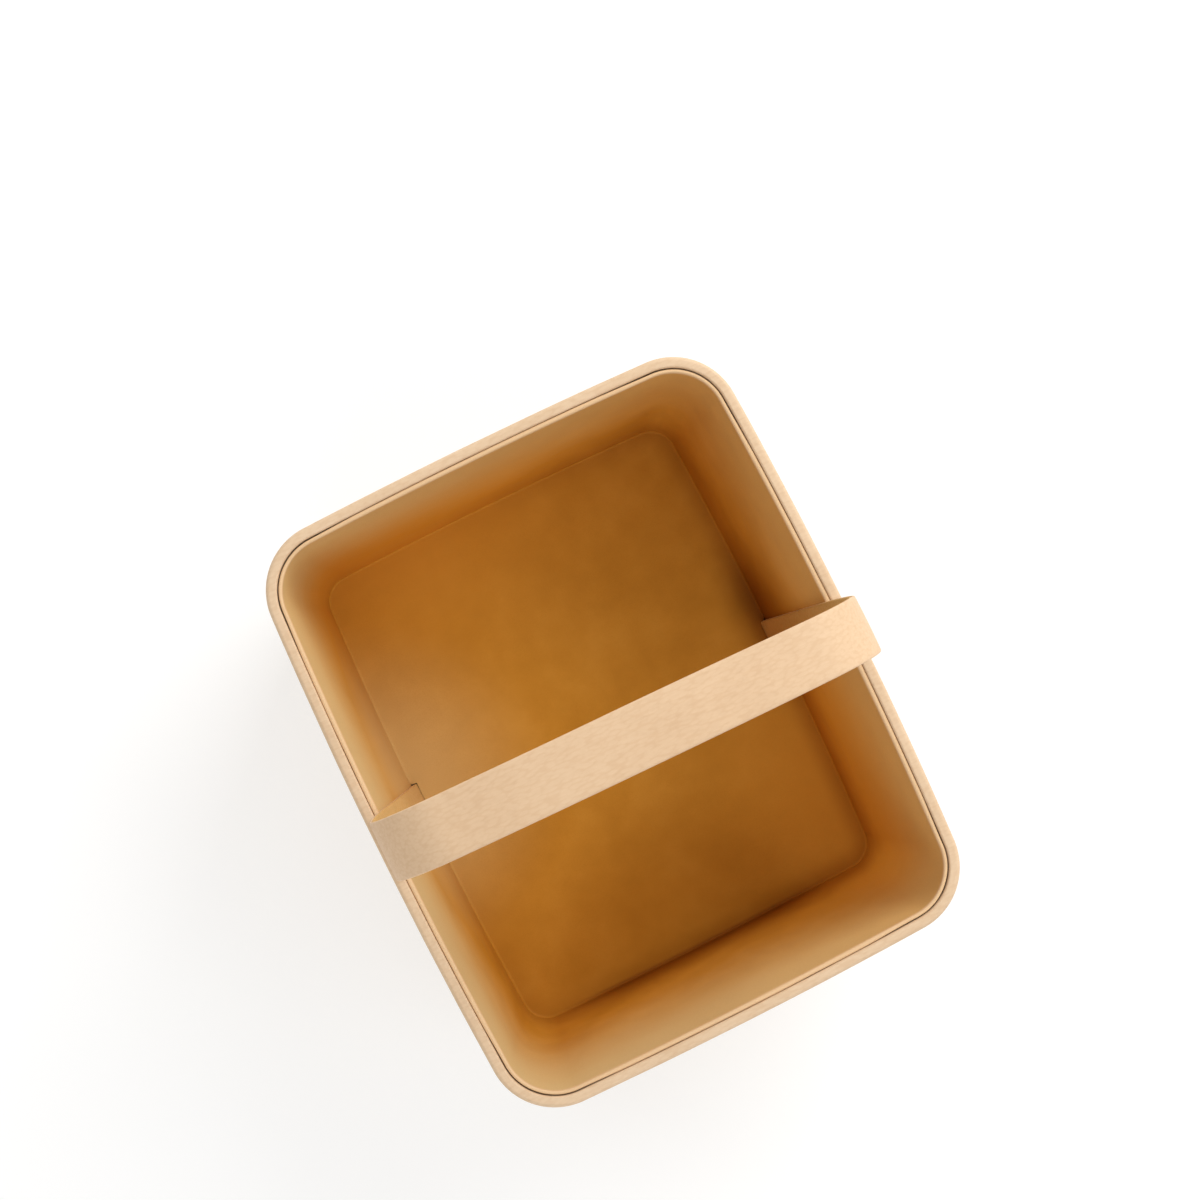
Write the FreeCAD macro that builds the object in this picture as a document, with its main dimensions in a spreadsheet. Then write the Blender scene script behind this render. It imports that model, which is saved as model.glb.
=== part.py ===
import FreeCAD, Part
import math
import os
import Sketcher

# Leather-covered storage bin with tapered walls and a fixed strap handle.
# Millimetres, +Z up.  The origin is at the middle of the underside.  The handle crosses the
# bin along X, and the long sides of the bin run along Y.
#
# Every wall layer is one section swept round the rim outline.  The outline is eight tangent
# arcs: two gently bowed sides, two gently bowed ends and four corners.  Because each layer
# keeps the same arc centres, the layers stay parallel all the way round.

doc = FreeCAD.newDocument("storage_bin")
V = FreeCAD.Vector
SMALL_VOLUME = 0.01
NEAR = 0.05

# ---------------------------------------------------------------- driving dimensions
DIMENSIONS = [
    ("rim_width", 250.0, "outer width at the rim, along X"),
    ("rim_length", 303.0, "outer length at the rim, along Y"),
    ("wall_top", 150.0, "height of the rim above the ground"),
    ("taper", 12.0, "how far each wall leans in between the rim and the ground"),
    ("corner_radius", 33.0, "outer corner radius at the rim"),
    ("side_radius", 2400.0, "radius of the bowed long sides"),
    ("end_radius", 2800.0, "radius of the bowed ends"),
    ("glue_gap", 0.1, "glue line between two layers"),
    ("cover_thick", 1.3, "leather of the outer cover"),
    ("rim_hem", 25.0, "depth of the cover's hem inside the rim"),
    ("hem_thick", 1.1, "skived leather of that hem"),
    ("cover_round", 2.4, "rounding of the cover's outer edges"),
    ("fold_round", 1.0, "rounding inside its folds"),
    ("base_hem", 14.0, "width of the cover's hem under the base"),
    ("wall_board_thick", 2.8, "fibreboard of the walls"),
    ("board_round", 1.1, "rounding of the wall board's edges"),
    ("wall_joint_gap", 0.5, "gap at the wall board's butt joint"),
    ("splice_width", 30.0, "strip behind that joint"),
    ("splice_thick", 1.0, "thickness of that strip"),
    ("splice_low", 8.0, "height of its lower end"),
    ("splice_drop", 3.0, "distance from its upper end to the hem"),
    ("liner_gap", 0.6, "open seam between the hem and the liner"),
    ("liner_board_thick", 0.7, "card sleeve in the liner"),
    ("liner_leather_thick", 1.1, "leather of the liner"),
    ("lip_drop", 0.8, "how far the liner's lip sits below the rim"),
    ("lip_outer_round", 0.5, "rounding of the lip next to the open seam"),
    ("lip_inner_round", 0.8, "rounding of the lip inside the bin"),
    ("seam_gap", 0.2, "gap at a closing seam in the leather"),
    ("underside_thick", 1.2, "leather of the underside"),
    ("underside_inset", 3.0, "distance from its edge to the wall's lower edge"),
    ("underside_round", 0.4, "rounding of its lower edge"),
    ("filler_gap", 0.5, "gap between the base's filler card and the hem"),
    ("base_board_thick", 3.0, "board in the base"),
    ("floor_board_thick", 2.0, "board in the floor panel"),
    ("floor_leather_thick", 1.1, "leather of the floor panel"),
    ("floor_clearance", 0.6, "gap round the floor panel"),
    ("floor_round", 0.9, "rounding of the floor panel's upper edge"),
    ("strap_width", 28.0, "width of the handle strap"),
    ("strip_width", 22.0, "width of the spring strip in it"),
    ("strap_skin_thick", 1.1, "each leather of the strap"),
    ("strap_round", 0.8, "rounding of the strap's outer edges"),
    ("channel_slack", 0.4, "side play of the spring strip in the strap"),
    ("strip_thick", 0.8, "spring strip"),
    ("strip_gap", 0.05, "glue line on each face of the strip"),
    ("handle_rise", 115.0, "top of the strap above the rim"),
    ("leg_radius", 480.0, "bend of the legs above the rim"),
    ("shoulder_radius", 36.0, "bend of the strap's shoulders"),
    ("crown_radius", 540.0, "bend of the strap's crown"),
    ("notch_clearance", 0.6, "gap round each leg in the floor panel"),
    ("board_notch_extra", 0.3, "how much wider the floor board's notches are"),
    ("rivet_height", 98.0, "height of the rivets"),
    ("rivet_spread", 13.0, "distance between a leg's two rivets"),
    ("rivet_radius", 2.0, "shank of a rivet"),
    ("rivet_head_radius", 3.7, "flat head of a rivet"),
    ("rivet_head_thick", 0.6, "thickness of that head"),
    ("rivet_clearance", 0.05, "clearance round a rivet"),
    ("rivet_head_gap", 0.05, "gap between a leg's rivet head and the spring strip's cover"),
    ("rivet_sink", 0.02, "depth of a rivet head below the wall board's face"),
    ("overcut", 5.0, "how far a cutting tool runs past the piece"),
]

sheet = doc.addObject("Spreadsheet::Sheet", "Dims")
for row, (alias, value, note) in enumerate(DIMENSIONS, start=1):
    sheet.set("A%d" % row, str(value))
    sheet.setAlias("A%d" % row, alias)
    sheet.set("B%d" % row, note)
doc.recompute()

# Where each layer starts, as a distance inwards from the wall's outer face.
COVER_IN = "Dims.cover_thick"
BOARD_OUT = COVER_IN + " + Dims.glue_gap"
BOARD_IN = BOARD_OUT + " + Dims.wall_board_thick"
HEM_OUT = BOARD_IN + " + Dims.glue_gap"
HEM_IN = HEM_OUT + " + Dims.hem_thick"
LINER_OUT = HEM_IN + " + Dims.liner_gap"
SLEEVE_IN = LINER_OUT + " + Dims.liner_board_thick"
LEATHER_OUT = SLEEVE_IN + " + Dims.glue_gap"
LINER_IN = LEATHER_OUT + " + Dims.liner_leather_thick"
STRAP_OUT = LINER_IN + " + Dims.glue_gap"

# Heights of the layers in the base.
HEM_LOW = "Dims.underside_thick + Dims.glue_gap"
HEM_TOP = HEM_LOW + " + Dims.cover_thick"
BASE_LOW = HEM_TOP + " + Dims.glue_gap"
BASE_TOP = BASE_LOW + " + Dims.base_board_thick"
FLOOR_LOW = BASE_TOP + " + Dims.glue_gap"
FLOOR_BOARD_TOP = FLOOR_LOW + " + Dims.floor_board_thick"
FLOOR_TOP = FLOOR_BOARD_TOP + " + Dims.glue_gap + Dims.floor_leather_thick"

# Heights of the layers at the rim.
BOARD_TOP = "Dims.wall_top - Dims.cover_thick - Dims.glue_gap"
LIP_TOP = "Dims.wall_top - Dims.lip_drop"
SLEEVE_TOP = LIP_TOP + " - Dims.liner_leather_thick - Dims.glue_gap"
HEM_END = "Dims.wall_top - Dims.rim_hem"
CUT_HEIGHT = "Dims.wall_top + Dims.overcut"

# The strap's layers, as a distance inwards from its outer face.
STRIP_OUT = "Dims.strap_skin_thick + Dims.strip_gap"
STRIP_IN = STRIP_OUT + " + Dims.strip_thick"
SKIN_FOLD = STRIP_IN + " + Dims.strip_gap"
INNER_SKIN_OUT = SKIN_FOLD + " + Dims.glue_gap"
STRAP_IN = INNER_SKIN_OUT + " + Dims.strap_skin_thick"


def size(expression):
    """The value of an expression on the sheet, in millimetres."""
    return float(sheet.evalExpression(expression))


def wall_x(inset, height):
    """Half the width inside a wall layer at a height, as an expression."""
    return "Dims.rim_width / 2 - Dims.taper * (1 - (%s) / Dims.wall_top) - (%s)" % (height, inset)


def wall_y(inset, height):
    """Half the length inside a wall layer at a height, as an expression."""
    return "Dims.rim_length / 2 - Dims.taper * (1 - (%s) / Dims.wall_top) - (%s)" % (height, inset)


# ---------------------------------------------------------------- sketches
def new_body(name):
    body = doc.addObject("PartDesign::Body", name)
    body.Label = name
    return body


def new_sketch(body, name, role, height=None):
    """A sketch on one of the body's origin planes, raised to a height if one is given."""
    sketch = body.newObject("Sketcher::SketchObject", name)
    plane = [f for f in body.Origin.OriginFeatures if f.Role == role][0]
    sketch.AttachmentSupport = [(plane, "")]
    sketch.MapMode = "FlatFace"
    if height:
        sketch.setExpression("AttachmentOffset.Base.z", height)
    return sketch


def bind(sketch, kind, where, expression):
    """Adds a dimension whose value comes from the sheet."""
    index = sketch.addConstraint(Sketcher.Constraint(kind, *where, size(expression)))
    sketch.setExpression("Constraints[%d]" % index, expression)


def pin_point(sketch, geometry, point, x, y):
    """Ties a point to the origin by two dimensions."""
    bind(sketch, "DistanceX", (-1, 1, geometry, point), x)
    bind(sketch, "DistanceY", (-1, 1, geometry, point), y)


def outline(body, name, inset="0", height=None, starts_midway=False):
    """The rim outline moved inwards by an inset: sides, ends and corners in turn.

    A path starts midway along the right side, in the plane that holds the swept section.
    """
    sketch = new_sketch(body, name, "XY_Plane", height)
    corner = size("Dims.corner_radius")
    side = size("Dims.side_radius")
    end = size("Dims.end_radius")
    side_centre = side - size("Dims.rim_width") / 2
    end_centre = end - size("Dims.rim_length") / 2
    # The corner's centre lies where circles about the two other centres cross.
    corner_at = crossing(V(-side_centre, 0, 0), side - corner, V(0, -end_centre, 0), end - corner)
    turn = math.atan2(corner_at.y, corner_at.x + side_centre)
    rise = math.atan2(corner_at.y + end_centre, corner_at.x)
    move = size(inset)
    arcs = []
    for quarter in range(4):
        facing = quarter * math.pi / 2
        if quarter % 2 == 0:
            centre, radius, half = V(-side_centre, 0, 0), side, turn
            corner_turn = (turn, rise)
        else:
            centre, radius, half = V(-end_centre, 0, 0), end, math.pi / 2 - rise
            corner_turn = (math.pi / 2 - rise, math.pi / 2 - turn)
        corner_centre = V(corner_at.x, corner_at.y, 0)
        if quarter % 2:
            corner_centre = V(corner_at.y, corner_at.x, 0)
        arcs.append((spin(centre, facing), radius - move, facing - half, facing + half))
        arcs.append((spin(corner_centre, facing), corner - move,
                     facing + corner_turn[0], facing + corner_turn[1]))
    if starts_midway:
        centre, radius, start, stop = arcs[0]
        arcs[0] = (centre, radius, 0, stop)
        arcs.append((centre, radius, start, 0))
    for centre, radius, start, stop in arcs:
        circle = Part.Circle(centre, V(0, 0, 1), radius)
        sketch.addGeometry(Part.ArcOfCircle(circle, start, stop), False)
    count = len(arcs)
    for index in range(count):
        following = (index + 1) % count
        sketch.addConstraint(Sketcher.Constraint("Tangent", index, 2, following, 1))
    if starts_midway:
        sketch.addConstraint(Sketcher.Constraint("PointOnObject", 0, 1, -1))
    for index in range(count):
        radius = ("side_radius", "corner_radius", "end_radius", "corner_radius")[index % 4]
        bind(sketch, "Radius", (index,), "Dims.%s - (%s)" % (radius, inset))
    for index, axis in ((0, -1), (2, -2), (4, -1), (6, -2)):
        sketch.addConstraint(Sketcher.Constraint("PointOnObject", index, 3, axis))
    across = "Dims.side_radius - Dims.rim_width / 2"
    along = "Dims.end_radius - Dims.rim_length / 2"
    bind(sketch, "DistanceX", (0, 3, -1, 1), across)
    bind(sketch, "DistanceX", (-1, 1, 4, 3), across)
    bind(sketch, "DistanceY", (2, 3, -1, 1), along)
    bind(sketch, "DistanceY", (-1, 1, 6, 3), along)
    return sketch


def spin(point, angle):
    """A point turned about the Z axis."""
    cos, sin = math.cos(angle), math.sin(angle)
    return V(point.x * cos - point.y * sin, point.x * sin + point.y * cos, 0)


def crossing(first, first_radius, second, second_radius):
    """Where two circles cross, on the left of the way from the first centre to the second."""
    reach = second - first
    gap = reach.Length
    along = (first_radius ** 2 - second_radius ** 2 + gap ** 2) / (2 * gap)
    aside = math.sqrt(first_radius ** 2 - along ** 2)
    ahead = V(reach).normalize()
    return first + ahead * along + V(-ahead.y, ahead.x, 0) * aside


def section(body, name, role, corners):
    """A closed outline through corners (x, height, rounding), each a sheet expression."""
    sketch = new_sketch(body, name, role)
    places = [V(size(x), size(height), 0) for x, height, rounding in corners]
    count = len(corners)
    ends = []
    for index, (x, height, rounding) in enumerate(corners):
        here = places[index]
        back = V(places[index - 1] - here).normalize()
        ahead = V(places[(index + 1) % count] - here).normalize()
        if rounding is None:
            ends.append((here, here, None))
            continue
        half = back.getAngle(ahead) / 2
        radius = size(rounding)
        reach = radius / math.tan(half)
        centre = here + V(back + ahead).normalize() * (radius / math.sin(half))
        ends.append((here + back * reach, here + ahead * reach, (centre, radius)))
    lines = []
    for index in range(count):
        start, stop = ends[index][1], ends[(index + 1) % count][0]
        lines.append(sketch.addGeometry(Part.LineSegment(start, stop), False))
    for index, (x, height, rounding) in enumerate(corners):
        before, after = lines[index - 1], lines[index]
        if rounding is None:
            sketch.addConstraint(Sketcher.Constraint("Coincident", before, 2, after, 1))
            pin_point(sketch, after, 1, x, height)
            continue
        round_corner(sketch, before, after, ends[index], (x, height, rounding))
    return sketch


def round_corner(sketch, before, after, place, corner):
    """An arc between two lines, whose sharp corner stays as a construction point."""
    start, stop, (centre, radius) = place
    x, height, rounding = corner
    inner, outer = V(start - centre), V(stop - centre)
    turns_left = inner.cross(outer).z > 0
    first, last = (inner, outer) if turns_left else (outer, inner)
    circle = Part.Circle(centre, V(0, 0, 1), radius)
    angles = [math.atan2(edge.y, edge.x) for edge in (first, last)]
    if angles[1] < angles[0]:
        angles[1] += 2 * math.pi
    arc = sketch.addGeometry(Part.ArcOfCircle(circle, *angles), False)
    joins = (1, 2) if turns_left else (2, 1)
    sketch.addConstraint(Sketcher.Constraint("Tangent", before, 2, arc, joins[0]))
    sketch.addConstraint(Sketcher.Constraint("Tangent", arc, joins[1], after, 1))
    bind(sketch, "Radius", (arc,), rounding)
    sharp = sketch.addGeometry(Part.Point(V(size(x), size(height), 0)), True)
    sketch.addConstraint(Sketcher.Constraint("PointOnObject", sharp, 1, before))
    sketch.addConstraint(Sketcher.Constraint("PointOnObject", sharp, 1, after))
    pin_point(sketch, sharp, 1, x, height)


# ---------------------------------------------------------------- features
def pad(body, profile, length, symmetric=False):
    made = body.newObject("PartDesign::Pad", profile.Name + "_pad")
    made.Profile = profile
    made.setExpression("Length", length)
    if symmetric:
        made.SideType = "Symmetric"
    doc.recompute()
    return made


def pocket(body, profile, length, upwards=False, symmetric=False):
    """Cuts a profile out of the body, and makes sure that something was cut."""
    before = body.Shape.Volume
    made = body.newObject("PartDesign::Pocket", profile.Name + "_pocket")
    made.Profile = profile
    made.setExpression("Length", length)
    made.Reversed = upwards
    if symmetric:
        made.SideType = "Symmetric"
    doc.recompute()
    if not body.Shape.Volume < before - SMALL_VOLUME:
        raise RuntimeError("%s cuts nothing" % made.Name)
    return made


def sweep_round_rim(body, corners):
    """A wall layer: its section, swept once round the rim outline."""
    path = outline(body, body.Name + "_path", starts_midway=True)
    profile = section(body, body.Name + "_section", "XZ_Plane", corners)
    doc.recompute()
    made = body.newObject("PartDesign::AdditivePipe", body.Name + "_sweep")
    made.Profile = profile
    made.Spine = (path, [])
    doc.recompute()
    return made


def rectangle(body, name, role, low, high, height=None):
    """A rectangle between two corners, each a pair of sheet expressions."""
    sketch = new_sketch(body, name, role, height)
    corners = ((low[0], low[1]), (high[0], low[1]), (high[0], high[1]), (low[0], high[1]))
    places = [V(size(x), size(y), 0) for x, y in corners]
    for index in range(4):
        sketch.addGeometry(Part.LineSegment(places[index], places[(index + 1) % 4]), False)
    for index in range(4):
        sketch.addConstraint(Sketcher.Constraint("Coincident", index, 2, (index + 1) % 4, 1))
    for index, kind in enumerate(("Horizontal", "Vertical", "Horizontal", "Vertical")):
        sketch.addConstraint(Sketcher.Constraint(kind, index))
    pin_point(sketch, 0, 1, *corners[0])
    pin_point(sketch, 2, 1, *corners[2])
    return sketch


def round_edges(body, name, radius, wanted):
    """Rounds the edges of the body's last feature that a test picks."""
    tip = body.Tip
    picked = ["Edge%d" % (n + 1) for n, edge in enumerate(tip.Shape.Edges) if wanted(edge)]
    made = body.newObject("PartDesign::Fillet", name)
    made.Base = (tip, picked)
    made.setExpression("Radius", radius)
    doc.recompute()
    return made


def level_edge(height):
    """A test for edges that lie at one height."""
    def wanted(edge):
        box = edge.BoundBox
        return abs(box.ZMin - height) < NEAR and abs(box.ZMax - height) < NEAR
    return wanted


# ---------------------------------------------------------------- walls
def build_outer_cover():
    """Leather round the outside, turned in over the rim and in under the base."""
    body = new_body("outer_cover")
    hem_edge = wall_x("Dims.base_hem", HEM_LOW)
    rounding = "Dims.cover_round"
    fold = "Dims.fold_round"
    below_rim = "Dims.wall_top - Dims.cover_thick"
    sweep_round_rim(body, [
        (hem_edge, HEM_LOW, None),
        (wall_x("0", HEM_LOW), HEM_LOW, rounding),
        (wall_x("0", "Dims.wall_top"), "Dims.wall_top", rounding),
        (wall_x(HEM_IN, "Dims.wall_top"), "Dims.wall_top", rounding),
        (wall_x(HEM_IN, HEM_END), HEM_END, None),
        (wall_x(HEM_OUT, HEM_END), HEM_END, None),
        (wall_x(HEM_OUT, below_rim), below_rim, fold),
        (wall_x(COVER_IN, below_rim), below_rim, fold),
        (wall_x(COVER_IN, HEM_TOP), HEM_TOP, fold),
        (hem_edge, HEM_TOP, None)])
    seam = rectangle(body, "cover_seam", "XY_Plane",
                     ("Dims.rim_width / 2 - Dims.taper - Dims.base_hem - Dims.overcut",
                      "-Dims.seam_gap / 2"),
                     ("Dims.rim_width / 2 + Dims.overcut", "Dims.seam_gap / 2"))
    pocket(body, seam, CUT_HEIGHT, upwards=True)
    return body


def build_wall_board():
    """Fibreboard bent to the outline and butted at the middle of one end."""
    body = new_body("wall_board_blank")
    sweep_round_rim(body, [
        (wall_x(BOARD_IN, BASE_LOW), BASE_LOW, None),
        (wall_x(BOARD_OUT, BASE_LOW), BASE_LOW, "Dims.board_round"),
        (wall_x(BOARD_OUT, BOARD_TOP), BOARD_TOP, "Dims.board_round"),
        (wall_x(BOARD_IN, BOARD_TOP), BOARD_TOP, "Dims.board_round")])
    joint = rectangle(body, "board_joint", "XY_Plane",
                      ("-Dims.wall_joint_gap / 2",
                       "Dims.rim_length / 2 - Dims.taper - Dims.wall_board_thick - Dims.overcut"),
                      ("Dims.wall_joint_gap / 2", "Dims.rim_length / 2 + Dims.overcut"))
    pocket(body, joint, CUT_HEIGHT, upwards=True)
    return body


def build_wall_board_splice():
    """Strip glued behind the board's butt joint, below the hem."""
    body = new_body("wall_board_splice")
    low = "Dims.splice_low"
    high = HEM_END + " - Dims.splice_drop"
    outer = BOARD_IN + " + Dims.glue_gap"
    inner = outer + " + Dims.splice_thick"
    profile = section(body, "splice_section", "YZ_Plane", [
        (wall_y(inner, low), low, None),
        (wall_y(outer, low), low, None),
        (wall_y(outer, high), high, None),
        (wall_y(inner, high), high, None)])
    pad(body, profile, "Dims.splice_width", symmetric=True)
    return body


def build_liner_board():
    """Card sleeve that keeps the liner smooth, split behind one leg of the handle."""
    body = new_body("liner_board_blank")
    sweep_round_rim(body, [
        (wall_x(SLEEVE_IN, FLOOR_LOW), FLOOR_LOW, None),
        (wall_x(LINER_OUT, FLOOR_LOW), FLOOR_LOW, None),
        (wall_x(LINER_OUT, SLEEVE_TOP), SLEEVE_TOP, None),
        (wall_x(SLEEVE_IN, SLEEVE_TOP), SLEEVE_TOP, None)])
    cut_liner_seam(body, "sleeve_seam")
    return body


def build_liner_leather():
    """Inner leather, turned over the sleeve's top edge to make the lip."""
    body = new_body("liner_leather_blank")
    step = LIP_TOP + " - Dims.liner_leather_thick"
    sweep_round_rim(body, [
        (wall_x(LINER_IN, FLOOR_LOW), FLOOR_LOW, None),
        (wall_x(LEATHER_OUT, FLOOR_LOW), FLOOR_LOW, None),
        (wall_x(LEATHER_OUT, step), step, None),
        (wall_x(LINER_OUT, step), step, None),
        (wall_x(LINER_OUT, LIP_TOP), LIP_TOP, "Dims.lip_outer_round"),
        (wall_x(LINER_IN, LIP_TOP), LIP_TOP, "Dims.lip_inner_round")])
    cut_liner_seam(body, "leather_seam")
    return body


def cut_liner_seam(body, name):
    seam = rectangle(body, name, "XY_Plane",
                     ("-Dims.rim_width / 2", "-Dims.seam_gap / 2"),
                     ("-Dims.rim_width / 2 + Dims.taper + %s + Dims.overcut" % LINER_IN,
                      "Dims.seam_gap / 2"))
    pocket(body, seam, CUT_HEIGHT, upwards=True)


# ---------------------------------------------------------------- base and floor
def build_base_board():
    body = new_body("base_board")
    pad(body, outline(body, "base_outline", "Dims.taper + %s + Dims.glue_gap" % BOARD_IN, BASE_LOW),
        "Dims.base_board_thick")
    return body


def build_base_filler():
    """Card inside the turned-under hem, as thick as the hem."""
    body = new_body("base_filler")
    inset = "Dims.taper + Dims.base_hem + Dims.filler_gap"
    pad(body, outline(body, "filler_outline", inset, HEM_LOW), "Dims.cover_thick")
    return body


def build_underside_cover():
    body = new_body("underside_cover")
    inset = "Dims.taper + Dims.underside_inset"
    pad(body, outline(body, "underside_outline", inset), "Dims.underside_thick")
    round_edges(body, "underside_edge", "Dims.underside_round", level_edge(0.0))
    return body


FLOOR_INSET = "Dims.taper + %s + Dims.floor_clearance" % LINER_IN
FLOOR_BOARD_INSET = FLOOR_INSET + " + Dims.floor_leather_thick + Dims.glue_gap"
NOTCH_DEPTH = wall_x(STRAP_OUT, "0") + " - (%s) - Dims.notch_clearance" % STRAP_IN


def cut_leg_notches(body, prefix, extra):
    """Slots at the two ends of the width, where the handle's legs pass the floor panel."""
    half = "Dims.strap_width / 2 + Dims.notch_clearance + %s" % extra
    near = NOTCH_DEPTH + " - %s" % extra
    far = "Dims.rim_width / 2"
    right = rectangle(body, prefix + "_notch_right", "XY_Plane",
                      (near, "-(%s)" % half), (far, half))
    pocket(body, right, "Dims.wall_top", upwards=True)
    left = rectangle(body, prefix + "_notch_left", "XY_Plane",
                     ("-(%s)" % far, "-(%s)" % half), ("-(%s)" % near, half))
    pocket(body, left, "Dims.wall_top", upwards=True)


def build_floor_board():
    body = new_body("floor_board")
    pad(body, outline(body, "floor_board_outline", FLOOR_BOARD_INSET, FLOOR_LOW),
        "Dims.floor_board_thick")
    cut_leg_notches(body, "floor_board", "Dims.board_notch_extra")
    return body


def build_floor_leather():
    """Leather over the floor board, turned down round its edge."""
    body = new_body("floor_leather")
    pad(body, outline(body, "floor_outline", FLOOR_INSET, FLOOR_LOW),
        "%s - (%s)" % (FLOOR_TOP, FLOOR_LOW))
    round_edges(body, "floor_edge", "Dims.floor_round", level_edge(size(FLOOR_TOP)))
    inset = FLOOR_INSET + " + Dims.floor_leather_thick"
    pocket(body, outline(body, "floor_hollow", inset, FLOOR_LOW),
           "Dims.floor_board_thick + Dims.glue_gap", upwards=True)
    cut_leg_notches(body, "floor_leather", "0")
    return body


# ---------------------------------------------------------------- handle
LEAN = math.atan2(size("Dims.taper"), size("Dims.wall_top"))
LEAN_ANGLE = "atan(Dims.taper / Dims.wall_top)"


def strap_band(body, name, outer, inner):
    """The strap's side view between two depths below its outer face, foot to foot."""
    sketch = new_sketch(body, name, "XZ_Plane")
    first = strap_curve(sketch, outer)
    second = strap_curve(sketch, inner)
    for mine in (0, 6):
        point = 1 if mine == 0 else 2
        ends = [sketch.getPoint(curve + mine, point) for curve in (first, second)]
        line = sketch.addGeometry(Part.LineSegment(*ends), False)
        sketch.addConstraint(Sketcher.Constraint("Coincident", first + mine, point, line, 1))
        sketch.addConstraint(Sketcher.Constraint("Coincident", second + mine, point, line, 2))
    return sketch


def strap_centres():
    """The centres of the right leg's bend, the right shoulder and the crown, with radii."""
    names = ["Dims.%s_radius" % part for part in ("leg", "shoulder", "crown")]
    leg, shoulder, crown = [size(name) for name in names]
    bend_at = V(size(wall_x(STRAP_OUT, "Dims.wall_top")) - leg * math.cos(LEAN),
                size("Dims.wall_top") + leg * math.sin(LEAN), 0)
    crown_at = V(0, size("Dims.wall_top + Dims.handle_rise") - crown, 0)
    shoulder_at = crossing(bend_at, leg - shoulder, crown_at, crown - shoulder)
    return list(zip((bend_at, shoulder_at, crown_at), names))


def strap_curve(sketch, depth):
    """Leg, leg bend, shoulder, crown, shoulder, leg bend and leg, all tangent."""
    move = size(depth)
    (bend_at, leg), (shoulder_at, shoulder), (crown_at, crown) = [
        (centre, size(radius)) for centre, radius in strap_centres()]
    foot_height = FLOOR_LOW
    foot_x = wall_x("%s + (%s) / cos(%s)" % (STRAP_OUT, depth, LEAN_ANGLE), foot_height)
    bend_height = "Dims.wall_top + Dims.leg_radius * sin(%s)" % LEAN_ANGLE
    first_turn = math.atan2(shoulder_at.y - bend_at.y, shoulder_at.x - bend_at.x)
    second_turn = math.atan2(shoulder_at.y - crown_at.y, shoulder_at.x - crown_at.x)
    arcs = [(bend_at, leg, -LEAN, first_turn),
            (shoulder_at, shoulder, first_turn, second_turn),
            (crown_at, crown, second_turn, math.pi - second_turn)]
    for centre, radius, start, stop in (arcs[1], arcs[0]):
        arcs.append((V(-centre.x, centre.y, 0), radius, math.pi - stop, math.pi - start))
    foot = V(size(foot_x), size(foot_height), 0)
    knee = bend_at + V(math.cos(LEAN), -math.sin(LEAN), 0) * (leg - move)
    start = sketch.addGeometry(Part.LineSegment(foot, knee), False)
    for centre, radius, low, high in arcs:
        circle = Part.Circle(centre, V(0, 0, 1), radius - move)
        sketch.addGeometry(Part.ArcOfCircle(circle, low, high), False)
    sketch.addGeometry(Part.LineSegment(V(-knee.x, knee.y, 0), V(-foot.x, foot.y, 0)), False)
    for index in range(start, start + 6):
        sketch.addConstraint(Sketcher.Constraint("Tangent", index, 2, index + 1, 1))
    for index, part in ((1, "leg"), (2, "shoulder"), (3, "crown")):
        bind(sketch, "Radius", (start + index,), "Dims.%s_radius - (%s)" % (part, depth))
    for index in (1, 2):
        mirror = start + 6 - index
        sketch.addConstraint(Sketcher.Constraint("Equal", start + index, mirror))
    pin_point(sketch, start, 1, foot_x, foot_height)
    bind(sketch, "Angle", (-1, start), "90 deg - " + LEAN_ANGLE)
    bind(sketch, "DistanceY", (-1, 1, start + 1, 3), bend_height)
    sketch.addConstraint(Sketcher.Constraint("PointOnObject", start + 3, 3, -2))
    bind(sketch, "DistanceY", (start + 3, 3, -1, 1),
         "Dims.crown_radius - Dims.wall_top - Dims.handle_rise")
    sketch.addConstraint(Sketcher.Constraint("Symmetric", start, 1, start + 6, 2, -2))
    sketch.addConstraint(Sketcher.Constraint("Symmetric", start + 1, 3, start + 5, 3, -2))
    return start


def outer_long_edge(edge):
    """A test for the long edges on the strap's outer face, along both sides of the strap."""
    half = size("Dims.strap_width") / 2
    box = edge.BoundBox
    along = abs(abs(box.YMin) - half) < NEAR and abs(box.YMax - box.YMin) < NEAR
    middle = edge.valueAt((edge.FirstParameter + edge.LastParameter) / 2)
    return along and on_outer_face(middle)


def on_outer_face(point):
    """True for a point on the strap's outer face."""
    x, z = abs(point.x), point.z
    if z <= size("Dims.wall_top"):
        return abs(x - size(wall_x(STRAP_OUT, "%.6f" % z))) < NEAR
    centres = strap_centres()
    return any(abs(math.hypot(x - centre.x, z - centre.y) - size(radius)) < NEAR
               for centre, radius in centres)


def build_handle_outer_leather():
    """Upper leather, turned round the edges of the spring strip."""
    body = new_body("handle_outer_leather_blank")
    pad(body, strap_band(body, "outer_skin_band", "0", SKIN_FOLD), "Dims.strap_width", symmetric=True)
    round_edges(body, "outer_skin_edge", "Dims.strap_round", outer_long_edge)
    hollow = strap_band(body, "strip_channel_band", "Dims.strap_skin_thick", STRAP_IN)
    pocket(body, hollow, "Dims.strip_width + Dims.channel_slack", symmetric=True)
    return body


def build_handle_strip():
    body = new_body("handle_strip_blank")
    pad(body, strap_band(body, "strip_band", STRIP_OUT, STRIP_IN), "Dims.strip_width", symmetric=True)
    return body


def build_handle_inner_leather():
    body = new_body("handle_inner_leather_blank")
    pad(body, strap_band(body, "inner_skin_band", INNER_SKIN_OUT, STRAP_IN),
        "Dims.strap_width", symmetric=True)
    return body


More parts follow.
